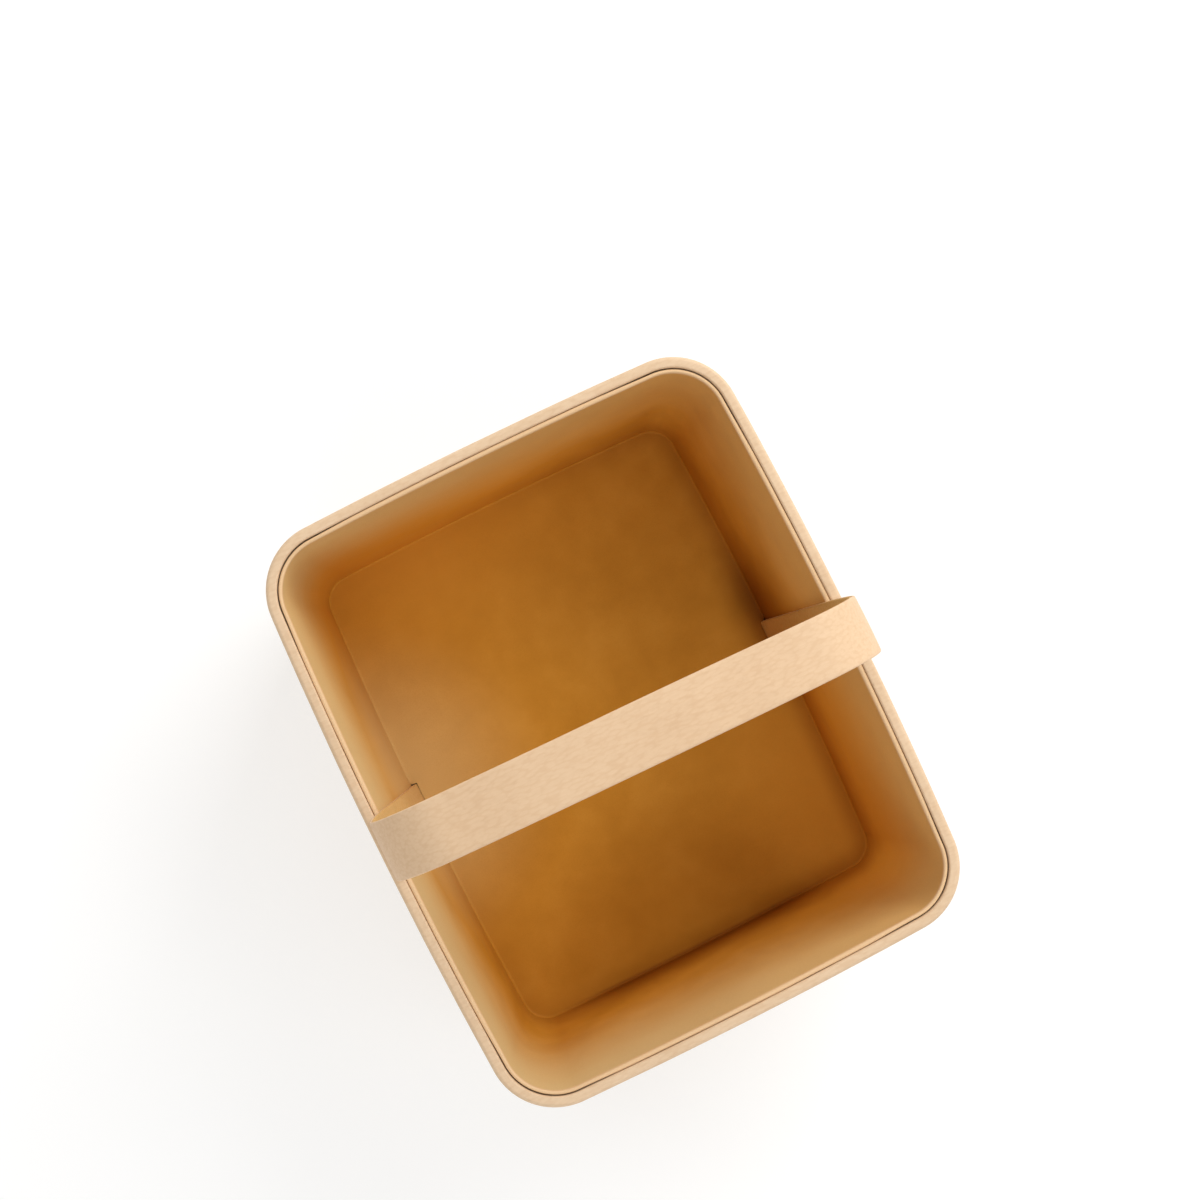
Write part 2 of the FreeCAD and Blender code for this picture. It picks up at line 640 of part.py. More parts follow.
# ---------------------------------------------------------------- rivets
def rivet_set(grow):
    """Four rivets square to the walls, two in each leg, each made bigger by a clearance."""
    height = size("Dims.rivet_height")
    head_radius = size("Dims.rivet_head_radius") + grow
    head_thick = size("Dims.rivet_head_thick") + 2 * grow
    strap_face = size(wall_x(STRAP_OUT, "Dims.rivet_height"))
    inner_head = size(SKIN_FOLD + " + Dims.rivet_head_gap") - grow
    wall_depth = size("%s - (%s)" % (STRAP_OUT, BOARD_OUT)) * math.cos(LEAN)
    outer_head = wall_depth - size("Dims.rivet_sink") + grow
    pieces = []
    for side in (1, -1):
        outward = V(side * math.cos(LEAN), 0, -math.sin(LEAN))
        for across in (0.5, -0.5):
            face = V(side * strap_face, across * size("Dims.rivet_spread"), height)
            tail = face - outward * inner_head
            nose = face + outward * outer_head
            shank = Part.makeCylinder(size("Dims.rivet_radius") + grow, (nose - tail).Length,
                                      tail, outward)
            near = Part.makeCylinder(head_radius, head_thick, tail - outward * head_thick, outward)
            far = Part.makeCylinder(head_radius, head_thick, nose - outward * head_thick, outward)
            pieces.append(shank.fuse([near, far]).removeSplitter())
    return pieces


def solids_feature(name, shape):
    made = doc.addObject("Part::Feature", name)
    made.Shape = shape
    made.Placement = FreeCAD.Placement()
    made.Label = name
    return made


def drilled(name, blank, tool):
    """A piece whose blank has been drilled for the rivets."""
    cut = doc.addObject("Part::Cut", name)
    cut.Base = blank
    cut.Tool = tool
    cut.Label = name
    doc.recompute()
    if not cut.Shape.Volume < blank.Shape.Volume - SMALL_VOLUME:
        raise RuntimeError("the rivets miss %s" % name)
    return cut


# ---------------------------------------------------------------- assembly
rivets = solids_feature("handle_rivets", Part.makeCompound(rivet_set(0.0)))
rivet_space = solids_feature("rivet_space", Part.makeCompound(rivet_set(size("Dims.rivet_clearance"))))

nodes = [
    build_outer_cover(),
    drilled("wall_board", build_wall_board(), rivet_space),
    build_wall_board_splice(),
    drilled("liner_board", build_liner_board(), rivet_space),
    drilled("liner_leather", build_liner_leather(), rivet_space),
    build_base_board(),
    build_base_filler(),
    build_underside_cover(),
    build_floor_board(),
    build_floor_leather(),
    drilled("handle_outer_leather", build_handle_outer_leather(), rivet_space),
    drilled("handle_strip", build_handle_strip(), rivet_space),
    drilled("handle_inner_leather", build_handle_inner_leather(), rivet_space),
    rivets,
]
doc.recompute()

for item in doc.Objects:
    if "Invalid" in item.State or "Error" in item.State:
        raise RuntimeError("%s failed: %s" % (item.Name, item.State))
for node in nodes:
    if node.Shape.isNull() or not node.Shape.isValid():
        raise RuntimeError("%s has no valid shape" % node.Label)

os.makedirs("parts", exist_ok=True)
for node in nodes:
    node.Shape.exportStep("parts/%s.step" % node.Label)
    box = node.Shape.BoundBox
    print("%-22s %d solid(s) %10.1f mm3  x %.1f..%.1f y %.1f..%.1f z %.1f..%.1f" % (
        node.Label, len(node.Shape.Solids), node.Shape.Volume,
        box.XMin, box.XMax, box.YMin, box.YMax, box.ZMin, box.ZMax))
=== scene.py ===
import math

import bmesh
import bpy
from mathutils import Matrix, Vector, noise


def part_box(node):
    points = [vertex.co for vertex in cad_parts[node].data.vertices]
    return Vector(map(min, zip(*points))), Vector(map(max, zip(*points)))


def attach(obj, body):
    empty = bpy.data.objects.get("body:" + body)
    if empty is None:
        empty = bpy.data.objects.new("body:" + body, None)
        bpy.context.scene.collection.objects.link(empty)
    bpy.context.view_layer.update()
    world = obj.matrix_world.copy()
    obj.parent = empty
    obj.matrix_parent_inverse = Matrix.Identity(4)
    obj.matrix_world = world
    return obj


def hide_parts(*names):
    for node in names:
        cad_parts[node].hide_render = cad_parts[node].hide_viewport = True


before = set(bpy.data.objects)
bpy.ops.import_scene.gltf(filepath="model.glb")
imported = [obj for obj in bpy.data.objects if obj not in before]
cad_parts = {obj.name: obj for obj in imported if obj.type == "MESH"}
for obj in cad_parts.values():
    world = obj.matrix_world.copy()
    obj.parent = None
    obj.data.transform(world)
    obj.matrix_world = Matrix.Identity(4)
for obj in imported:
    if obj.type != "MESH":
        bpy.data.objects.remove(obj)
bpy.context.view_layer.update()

# Looks for the leather-covered storage bin.  Each leather skin is rebuilt here as a closed,
# thin shell that lies where its CAD solid lies: the cover turned over the rim, the liner with
# its folded lip, the floor panel's leather, the two faces of the strap and the underside.
# The strap was fitted a little askew, so the steel strip inside it is rebuilt with it.  The
# boards, the card and the rivets keep their CAD meshes and get materials only.

MM = 0.001
SAME_PLACE = 0.002 * MM               # corners this close are one
SHARP_FROM = math.radians(50)         # an edge is shaded as sharp from this angle

# ---------------------------------------------------------------- sizes of the bin
RIM_EDGE_LOSS = 0.2 * MM              # the rounded rim is this much narrower than the wall's line
HALF_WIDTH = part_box("outer_cover")[1].x + RIM_EDGE_LOSS
HALF_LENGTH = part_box("outer_cover")[1].y + RIM_EDGE_LOSS
WALL_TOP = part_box("outer_cover")[1].z
COVER_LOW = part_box("outer_cover")[0].z
FLOOR_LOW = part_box("floor_leather")[0].z
FLOOR_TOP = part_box("floor_leather")[1].z
LEAN = 12.0 / 150.0                   # how far a wall leans out for each unit of height
CORNER_RADIUS = 33.0 * MM
SIDE_RADIUS = 2400.0 * MM             # the long sides bow out gently
END_RADIUS = 2800.0 * MM

SEAM_GAP = 0.2 * MM                   # a butted seam stands open by this much

# Depths are measured in from the wall's outer face.
HEM_FACE = 5.4 * MM
HEM_DEPTH = 25.0 * MM
HEM_THICK = 1.1 * MM
COVER_THICK = 1.3 * MM
BASE_HEM = 14.0 * MM
OUTER_ROUND = 2.4 * MM                # the cover's outer edges, at the rim and at the base
RIM_INNER_ROUND = 0.9 * MM            # the rim's inner edge is folded tighter
LINER_BACK = 6.8 * MM
LINER_FACE = 7.9 * MM
LIP_BACK = 6.0 * MM                   # the liner's lip is turned over the liner board
LIP_UNDER = 148.15 * MM
LIP_TOP = 149.2 * MM
LIP_WIDER = 0.38 * MM                 # the lip's back stands out by this much more,
LIP_CORNER = 0.42 * MM                # less this much in the corners
FOOT_INSET = LINER_FACE + LEAN * (WALL_TOP - FLOOR_TOP)
FOOT_WIDTH = HALF_WIDTH - FOOT_INSET  # the lining's half sizes and corners at the floor
FOOT_LENGTH = HALF_LENGTH - FOOT_INSET
FOOT_ROUND = CORNER_RADIUS - FOOT_INSET

# The leather isn't stuck flat everywhere: its waves fade in and out between these heights.
COVER_FREE = ((5 * MM, 40 * MM), (110 * MM, 144 * MM))
LINER_FREE = ((8 * MM, 30 * MM), (120 * MM, 146 * MM))
COVER_WAVE = 0.35 * MM
COVER_RIPPLE = 0.10 * MM
LINER_WAVE = 0.45 * MM
LIP_WAVE = 0.12 * MM

FLOOR_GAP = 0.06 * MM                 # from the floor leather to the wall and to its board
FOOT_COVE = 1.4 * MM                  # the floor leather curls up softly against the walls
FLOOR_FLAT = 9.0 * MM                 # and is flat from this far in
FLOOR_TUCK = 0.4 * MM                 # its turned-down edge is tucked in at the bottom
FLOOR_CROWN = 0.25 * MM               # its middle swells by about this much

STRAP_FACE = 8.0 * MM
STRAP_THICK = 3.2 * MM
STRAP_SKIN = 1.1 * MM
STRAP_HALF = 14.0 * MM
LEG_RADIUS = 480.0 * MM
SHOULDER_RADIUS = 36.0 * MM
CROWN_RADIUS = 540.0 * MM
STRAP_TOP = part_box("handle_outer_leather")[1].z
NOTCH_GAP = 0.15 * MM                 # the floor panel is notched closely round each leg
NOTCH_HALF = STRAP_HALF + NOTCH_GAP
NOTCH_SLOPE = 0.4 * MM                # the notch's sides slope in over this much
BOARD_NOTCH_EXTRA = 0.75 * MM         # the board inside is cut back a little more
STRAP_TURN = math.radians(-0.92)      # the strap was fitted by hand, a little out of square
STRAP_SHIFT = -1.4 * MM
STRAP_TRIM = 0.8 * MM                 # and its +Y edge was cut narrower towards +X,
STRAP_TRIM_FROM = (20 * MM, 110 * MM)  # from the first of these to the second
STRAP_WAVE = 0.10 * MM                # how uneven its faces are, and its edges
STRAP_EDGE_WAVE = 0.12 * MM
STRIP_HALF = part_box("handle_strip")[1].y
STRIP_THICK = 0.8 * MM


# ---------------------------------------------------------------- meshes
def join_loops(name, loops):
    """A closed mesh through a row of equal loops.  Its two end faces are made of strips."""
    size = len(loops[0])
    points = [point for loop in loops for point in loop]
    faces = []
    for row in range(len(loops) - 1):
        here, there = row * size, (row + 1) * size
        for k in range(size):
            after = (k + 1) % size
            faces.append((here + k, here + after, there + after, there + k))
    for start in (0, (len(loops) - 1) * size):
        for k in range(size // 2 - 1):
            faces.append((start + k, start + k + 1, start + size - 2 - k, start + size - 1 - k))
    mesh = bpy.data.meshes.new(name)
    mesh.from_pydata(points, [], faces)
    shell = bmesh.new()
    shell.from_mesh(mesh)
    bmesh.ops.remove_doubles(shell, verts=shell.verts, dist=SAME_PLACE)
    bmesh.ops.recalc_face_normals(shell, faces=shell.faces)
    shell.to_mesh(mesh)
    shell.free()
    mesh.shade_smooth()
    mesh.set_sharp_from_angle(angle=SHARP_FROM)
    made = bpy.data.objects.new(name, mesh)
    bpy.context.scene.collection.objects.link(made)
    return made


def steps(low, high, longest):
    """Evenly spaced values from low to high, no further apart than longest."""
    count = max(1, math.ceil(abs(high - low) / longest))
    return [low + (high - low) * k / count for k in range(count + 1)]


def smooth(value, low, high):
    """0 below low, 1 above high and an even blend between."""
    share = min(1.0, max(0.0, (value - low) / (high - low)))
    return share * share * (3 - 2 * share)


def free(height, foot, head):
    """How free the leather is at that height: 0 below the foot and above the head."""
    return smooth(height, *foot) * (1 - smooth(height, *head))


def sway(point, scale, seed):
    """A slow wave between about -1 and 1.  Each seed gives one wave, the same each run."""
    return noise.noise(Vector(point) / scale + Vector((seed, 2 * seed, -seed)))


def trace(start, heading, moves):
    """Points along a drawn line, each with the direction to its left.

    A move is (radius, amount, pieces): an angle in degrees round that radius, or a length
    straight on where the radius is 0."""
    place, angle = Vector(start), math.radians(heading)
    found = [(place.copy(), Vector((-math.sin(angle), math.cos(angle))))]
    for radius, amount, pieces in moves:
        turn = math.radians(amount) / pieces if radius else 0.0
        stride = 2 * radius * math.sin(turn / 2) if radius else amount / pieces
        for _ in range(pieces):
            way = angle + turn / 2
            place = place + Vector((math.cos(way), math.sin(way))) * stride
            angle += turn
            found.append((place.copy(), Vector((-math.sin(angle), math.cos(angle)))))
    return found


# ---------------------------------------------------------------- the wall's outline
def circle_crossing(first, first_radius, second, second_radius):
    """Where two circles cross, on the side away from the bin's middle."""
    gap = second - first
    along = (gap.length_squared + first_radius ** 2 - second_radius ** 2) / (2 * gap.length)
    across = math.sqrt(first_radius ** 2 - along ** 2)
    ahead = gap.normalized()
    options = [first + ahead * along + Vector((-ahead.y, ahead.x)) * across * side
               for side in (1, -1)]
    return max(options, key=lambda point: point.x + point.y)


def quarter_outline():
    """Stations from the middle of the +X side to the middle of the +Y end.

    A station is a point on the wall's outer face at the rim, the way out there, and how
    much of a corner it is, from 0 to 1."""
    side = Vector((HALF_WIDTH - SIDE_RADIUS, 0))
    end = Vector((0, HALF_LENGTH - END_RADIUS))
    corner = circle_crossing(side, SIDE_RADIUS - CORNER_RADIUS, end, END_RADIUS - CORNER_RADIUS)
    first = math.atan2(corner.y - side.y, corner.x - side.x)
    second = math.atan2(corner.y - end.y, corner.x - end.x)
    near_notch = [(NOTCH_HALF + extra * MM) / SIDE_RADIUS for extra in steps(-2.0, 2.0, 0.2)]
    side_turns = sorted(steps(0, first, 4 * MM / SIDE_RADIUS) + near_notch)
    corner_turns = steps(first, second, math.radians(2.5))
    end_turns = steps(second, math.pi / 2, 4 * MM / END_RADIUS)
    stations = []
    for centre, radius, turns in ((side, SIDE_RADIUS, side_turns[:-1]),
                                  (corner, CORNER_RADIUS, corner_turns[:-1]),
                                  (end, END_RADIUS, end_turns)):
        for turn in turns:
            out = Vector((math.cos(turn), math.sin(turn)))
            point = centre + out * radius
            reach = min((point - corner - out * CORNER_RADIUS).length, 40 * MM)
            stations.append((point, out, 1 - smooth(reach, 0, 30 * MM)))
    return stations


def full_outline(seam_side=1):
    """All stations anticlockwise, from the middle of the side at +X, or at -X for -1."""
    def mirrored(stations, x, y):
        flip = [(Vector((p.x * x, p.y * y)), Vector((n.x * x, n.y * y)), c)
                for p, n, c in stations]
        return flip if x * y > 0 else flip[::-1]
    quarter = quarter_outline()
    ring = quarter[:-1] + mirrored(quarter, -1, 1)[:-1]
    ring += mirrored(quarter, -1, -1)[:-1] + mirrored(quarter, 1, -1)
    return mirrored(ring, seam_side, seam_side)


def on_wall(station, inset, height):
    """The point that far in from the leaning outer face, at that height."""
    point, out, _ = station
    place = point - out * (inset + LEAN * (WALL_TOP - height))
    return Vector((place.x, place.y, height))


def opened(ring, gap):
    """The outline with its two ends drawn apart, for a butted seam."""
    (first, out, c), (last, last_out, last_c) = ring[0], ring[-1]
    slip = Vector((0, gap / 2 * math.copysign(1, first.x)))
    return [(first + slip, out, c)] + ring[1:-1] + [(last - slip, last_out, last_c)]


# ---------------------------------------------------------------- the skins
def cover_line():
    """The cover's visible face as depth and height, from its hem over the rim to the base."""
    hem_up = HEM_DEPTH - RIM_INNER_ROUND
    across = HEM_FACE - RIM_INNER_ROUND - OUTER_ROUND
    down = WALL_TOP - COVER_LOW - 2 * OUTER_ROUND
    return trace((HEM_FACE, WALL_TOP - HEM_DEPTH), 90, [
        (0, hem_up, 6), (RIM_INNER_ROUND, 90, 8), (0, across, 2), (OUTER_ROUND, 90, 12),
        (0, down, 36), (OUTER_ROUND, 90, 8), (0, BASE_HEM - OUTER_ROUND, 3)])


def cover_skin():
    """The outer leather, butted together at the middle of the +X side."""
    line = cover_line()
    middle = HEM_FACE / 2
    fold = Vector((HEM_FACE - HEM_THICK, WALL_TOP - HEM_THICK))

    def section(station):
        face, back = [], []
        for place, left in line:
            inset, height = place
            hem = inset > middle and height > WALL_TOP / 2
            flat_wall = 0 if inset > middle else free(height, *COVER_FREE)
            spot = on_wall(station, 0, min(height, fold.y))
            wave = COVER_WAVE * flat_wall * (1 + sway(spot, 75 * MM, 3.1))
            wave += COVER_RIPPLE * sway(spot, 30 * MM, 8.3) * smooth(height, 2 * MM, 6 * MM)
            inner = place + left * (HEM_THICK if hem else COVER_THICK)
            if hem:                   # inside the tight fold the leather meets itself
                inner = Vector((min(inner.x, fold.x), min(inner.y, fold.y)))
            face.append(on_wall(station, inset - wave, height))
            back.append(on_wall(station, inner.x - wave, inner.y))
        return face + back[::-1]

    ring = opened(full_outline(), SEAM_GAP)
    made = join_loops("cover_skin", [section(station) for station in ring])
    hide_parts("outer_cover")
    return made


def liner_skin():
    """The liner's leather: the wall's inner face and, at its top, the lip over its board."""
    heights = steps(FLOOR_LOW, LIP_UNDER, 3 * MM)
    lip_low = LIP_UNDER + 0.15 * MM
    rise = LIP_TOP - lip_low

    def section(station):
        corner = station[2]
        face, back = [], []
        for height in heights:
            spot = on_wall(station, LINER_FACE, height)
            wave = LINER_WAVE * free(height, *LINER_FREE) * (1 + sway(spot, 60 * MM, 5.7))
            face.append(on_wall(station, LINER_FACE + wave, height))
            back.append(on_wall(station, LINER_BACK + wave, height))
        spot = on_wall(station, LIP_BACK, LIP_TOP)
        uneven = LIP_WAVE * sway(spot, 22 * MM, 1.9)
        lip_back = LIP_BACK - LIP_WIDER + LIP_CORNER * corner + uneven
        lip_face = LINER_FACE + 0.5 * uneven
        centre = (lip_back + lip_face) / 2
        half = (lip_face - lip_back) / 2
        for degrees in (0, 15, 30, 45, 60, 75, 87):
            across = half * math.cos(math.radians(degrees))
            height = lip_low + rise * math.sin(math.radians(degrees))
            face.append(on_wall(station, centre + across, height))
            back.append(on_wall(station, centre - across, height))
        return face + back[::-1]

    ring = opened(full_outline(-1), SEAM_GAP)
    made = join_loops("liner_skin", [section(station) for station in ring])
    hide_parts("liner_leather")
    return made


def strap_offset(x):
    """How far out of the middle the strap lies there, along Y."""
    return STRAP_SHIFT + x * math.tan(STRAP_TURN)


def beside_leg(point, out):
    """How far outside the nearest leg's notch a place on the outline is, along Y.

    It is a metre, so far out of reach, where the outline doesn't face along X."""
    return abs(point.y - strap_offset(point.x)) - NOTCH_HALF if abs(out.x) > 0.9 else 1.0


def floor_ring(inset, height, extra=None, rise=0.0):
    """A loop round the floor panel, stepped in round each leg of the strap.

    extra is how far inside the panel's outer faces the notch runs; without it there is none.
    rise lifts the loop, except beside the legs, and the lifted part leans with the wall."""
    leg_face = STRAP_FACE + STRAP_THICK + NOTCH_GAP + LEAN * (WALL_TOP - FLOOR_TOP)
    loop = []
    for point, out, _ in full_outline()[:-1]:
        beside = beside_leg(point, out)
        lift = rise * smooth(beside, NOTCH_SLOPE, 5 * MM)
        depth = inset - LEAN * lift
        if extra is not None:
            stepped = 1 - smooth(beside - extra, 0, NOTCH_SLOPE)
            depth = max(depth, depth + (leg_face + extra - depth) * stepped)
        place = point - out * depth
        loop.append(Vector((place.x, place.y, height + lift)))
    return loop


def floor_skin():
    """The leather turned over the floor board, a little crowned, its edges pressed up."""
    edge = FOOT_INSET + FLOOR_GAP
    board_edge = HALF_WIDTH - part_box("floor_board")[1].x - FLOOR_GAP
    board_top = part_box("floor_board")[1].z + FLOOR_GAP

    def loop(inset, height, share=1.0, crown=0.0, extra=None, rise=0.0):
        placed = []
        for point in floor_ring(inset, height, extra, rise):
            spot = Vector((point.x * share, point.y * share, point.z))
            spot.z += crown * (1 + sway(spot, 45 * MM, 4.4))
            placed.append(spot)
        return placed

    inside = edge + FLOOR_FLAT
    shares = [0.06, 0.2, 0.35, 0.5, 0.64, 0.76, 0.86, 0.93]
    loops = [loop(inside, board_top, share) for share in shares]
    loops += [loop(inside, board_top),
              loop(board_edge, board_top, extra=BOARD_NOTCH_EXTRA),
              loop(board_edge, FLOOR_LOW, extra=BOARD_NOTCH_EXTRA),
              loop(edge + FLOOR_TUCK, FLOOR_LOW, extra=0),
              loop(edge, FLOOR_TOP - 0.5 * MM, extra=0),
              loop(edge, FLOOR_TOP, extra=0, rise=FOOT_COVE)]
    for degrees in (6, 15, 27, 40, 53, 66, 78, 90):
        angle = math.radians(degrees)
        loops.append(loop(edge + FOOT_COVE * (1 - math.cos(angle)), FLOOR_TOP,
                          extra=0.03 * MM, rise=FOOT_COVE * (1 - math.sin(angle))))
    loops.append(loop(edge + 6 * MM, FLOOR_TOP, crown=0.05 * MM, extra=0.3 * MM))
    loops.append(loop(inside, FLOOR_TOP, crown=0.12 * MM))
    loops += [loop(inside, FLOOR_TOP, share, FLOOR_CROWN) for share in shares[::-1]]
    made = join_loops("floor_skin", loops)
    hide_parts("floor_leather")
    return made


def underside_skin():
    """The flat leather sheet under the base."""
    low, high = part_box("underside_cover")
    edge = HALF_WIDTH - high.x
    round_edge = 0.4 * MM

    def loop(inset, height, share=1.0):
        placed = []
        for point, out, _ in full_outline()[:-1]:
            place = (point - out * inset) * share
            placed.append(Vector((place.x, place.y, height)))
        return placed

    shares = [0.06, 0.25, 0.45, 0.65, 0.82, 0.94]
    inner = edge + 3 * MM
    loops = [loop(inner, low.z, share) for share in shares] + [loop(inner, low.z)]
    for degrees in (-90, -60, -30, 0, 30, 60, 90):
        angle = math.radians(degrees)
        middle = low.z + round_edge if degrees < 0 else high.z - round_edge
        loops.append(loop(edge + round_edge * (1 - math.cos(angle)),
                          middle + round_edge * math.sin(angle)))
    loops += [loop(inner, high.z)] + [loop(inner, high.z, share) for share in shares[::-1]]
    made = join_loops("underside_skin", loops)
    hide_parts("underside_cover")
    return made


# ---------------------------------------------------------------- the strap
def strap_line():
    """Stations along the strap's outer face, foot to foot: point and way out, in X and Z."""
    lean = math.atan(LEAN)
    wall_x = HALF_WIDTH - STRAP_FACE
    bend = Vector((wall_x - LEG_RADIUS * math.cos(lean), WALL_TOP + LEG_RADIUS * math.sin(lean)))
    crown = Vector((0, STRAP_TOP - CROWN_RADIUS))
    shoulder = circle_crossing(bend, LEG_RADIUS - SHOULDER_RADIUS,
                               crown, CROWN_RADIUS - SHOULDER_RADIUS)
    first = math.atan2(shoulder.y - bend.y, shoulder.x - bend.x)
    second = math.atan2(shoulder.y - crown.y, shoulder.x - crown.x)
    leg_out = Vector((math.cos(lean), -math.sin(lean)))
    half = [(Vector((wall_x - LEAN * (WALL_TOP - height), height)), leg_out)
            for height in steps(FLOOR_LOW, WALL_TOP, 3 * MM)[:-1]]
    for centre, radius, low, high, longest in (
            (bend, LEG_RADIUS, -lean, first, 2.5 * MM),
            (shoulder, SHOULDER_RADIUS, first, second, 1.2 * MM),
            (crown, CROWN_RADIUS, second, math.pi / 2, 2.5 * MM)):
        for turn in steps(low, high, longest / radius)[:-1]:
            out = Vector((math.cos(turn), math.sin(turn)))
            half.append((centre + out * radius, out))
    top = (crown + Vector((0, CROWN_RADIUS)), Vector((0, 1)))
    other = [(Vector((-p.x, p.y)), Vector((-n.x, n.y))) for p, n in reversed(half)]
    return half + [top] + other


def strap_section():
    """Half the strap's thickness as (across, depth): its face, then back along its channel."""
    joint = STRAP_THICK / 2 - 0.03 * MM
    soft, crown = 0.85 * MM, 0.22 * MM        # the rounding of its edges, and how it swells
    channel = STRAP_HALF - 2.6 * MM
    bevel = STRAP_HALF - 0.30 * MM
    edge = [(bevel, joint), (STRAP_HALF - 0.08 * MM, joint - 0.08 * MM),
            (STRAP_HALF, joint - 0.28 * MM)]
    for degrees in (0, 22, 45, 67):
        angle = math.radians(degrees)
        edge.append((STRAP_HALF - soft * (1 - math.cos(angle)),
                     crown + soft * (1 - math.sin(angle))))
    flat = steps(STRAP_HALF - soft, 0, 1.6 * MM)
    edge += [(across, crown * (across / STRAP_HALF) ** 2) for across in flat]
    face = edge + [(-across, depth) for across, depth in edge[-2::-1]]
    flange = [(bevel - 0.38 * MM * k, joint - 0.02 * MM) for k in range(1, 7)]
    hollow = [(channel * (1 - k / len(flat)), STRAP_SKIN) for k in range(len(flat) + 1)]
    back = flange + hollow
    back += [(-across, depth) for across, depth in back[-2::-1]]
    return face + back[::-1]


def strap_layer(name, node, section, lowest=0.0):
    """One layer of the strap: its section, as (across, depth), carried from foot to foot."""
    loops = []
    travelled, before = 0.0, None
    for point, out in strap_line():
        travelled += (point - before).length if before else 0.0
        before = point
        if point.y < lowest:
            continue
        wave = STRAP_WAVE * sway((travelled, 0, 0), 40 * MM, 7.7)
        loop = []
        for across, depth in section:
            by_edge = (travelled, math.copysign(50 * MM, across), 0)
            side = STRAP_EDGE_WAVE * sway(by_edge, 55 * MM, 9.1) * abs(across) / STRAP_HALF
            place = point - out * (depth + wave)
            trim = STRAP_TRIM * smooth(place.x, *STRAP_TRIM_FROM) * max(0, across) / STRAP_HALF
            y = across + side - trim + strap_offset(place.x)
            loop.append(Vector((place.x, y, place.y)))
        loops.append(loop)
    made = join_loops(name, loops)
    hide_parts(node)
    return made, travelled


def strap_skin(name, node, flipped):
    """One face of the strap.  The two faces close round the steel strip between them."""
    section = strap_section()
    if flipped:
        section = [(across, STRAP_THICK - depth) for across, depth in section]
    made, travelled = strap_layer(name, node, section)
    return made


def strap_strip():
    """The spring steel strip between the strap's faces, turned with them."""
    near, far = (STRAP_THICK - STRIP_THICK) / 2, (STRAP_THICK + STRIP_THICK) / 2
    across = steps(STRIP_HALF, -STRIP_HALF, 4 * MM)
    section = [(x, near) for x in across] + [(x, far) for x in across[::-1]]
    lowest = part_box("handle_strip")[0].z
    return strap_layer("strap_strip", "handle_strip", section, lowest)[0]


# ---------------------------------------------------------------- materials
# Leathers and boards have two or three tones each, from dark to light.
COVER_TONES = ((0.70, 0.495, 0.31), (0.74, 0.535, 0.345), (0.77, 0.565, 0.375))
STRAP_TONES = ((0.70, 0.48, 0.295), (0.74, 0.515, 0.32), (0.77, 0.545, 0.345))
STRAP_BACK_TONES = ((0.64, 0.395, 0.14), (0.68, 0.43, 0.165), (0.72, 0.465, 0.19))
UNDERSIDE_TONES = ((0.50, 0.31, 0.17), (0.55, 0.35, 0.195), (0.60, 0.39, 0.23))
LINING_TONES = ((0.55, 0.24, 0.022), (0.61, 0.275, 0.030), (0.67, 0.315, 0.042))
FIBREBOARD_TONES = ((0.20, 0.13, 0.08), (0.30, 0.21, 0.14))
CARD_TONES = ((0.34, 0.30, 0.25), (0.46, 0.42, 0.36))
SPRING_GREY = (0.42, 0.44, 0.48)
RIVET_GREY = (0.62, 0.61, 0.58)
# Painted light on the lining: its lit colour, its paler upper walls and the highlight on its lip.
LINING_LIT = (0.80, 0.37, 0.045)
LINING_PALE = (0.71, 0.51, 0.24)
LINING_LIP = (0.78, 0.53, 0.30)

# Where the lining is painted with light and shade.  A patch is its middle, its outer and inner
# reach and how strong it is at most.
# Painted light: the walls are paler towards the rim, most on the -X side.
PALE_DEPTH = 112.0 * MM               # how far down from the rim the lining is paler
LIP_PALE = 4.0 * MM                   # the lip itself is the palest: a painted highlight
# Painted shade where walls and floor meet:
FOOT_BAND = 40.0 * MM                 # how far up from the floor the walls are darker
FOOT_EDGE = 13.0 * MM                 # and how far in from the walls the floor is
SHADE_LINE_WIDE = 3.0 * MM                # the painted shadow line at the -Y wall: on the floor
SHADE_LINE_HIGH = 48.0 * MM               # and up the wall
# A pale patch by the -X wall: painted light.
PALE_LIGHT_PATCH = ((-HALF_WIDTH, 15 * MM, 30 * MM), 105 * MM, 20 * MM, 0.6)
# Two brighter patches, on the +Y end and on the +X side: painted light.
PAINTED_LIGHT_PATCHES = (((-40 * MM, HALF_LENGTH, 60 * MM), 130 * MM, 30 * MM, 0.7),
                  ((HALF_WIDTH, -80 * MM, 60 * MM), 130 * MM, 30 * MM, 0.8))
# Where the painted shadow line and the darker floor at the -Y end are strongest.
END_PATCH = ((-5 * MM, -FOOT_LENGTH, FLOOR_TOP), 95 * MM, 45 * MM, 1.0)
# A painted shadow beside the foot of the strap's +X leg:
LEG_SPOT = Vector((FOOT_WIDTH, STRAP_HALF, FLOOR_TOP + 15 * MM))
LEG_SPOT_SHAPE = Vector((1.8, 0.7, 0.45))     # low, long and mostly on the wall
LEG_SPOT_REACH = 42.0 * MM


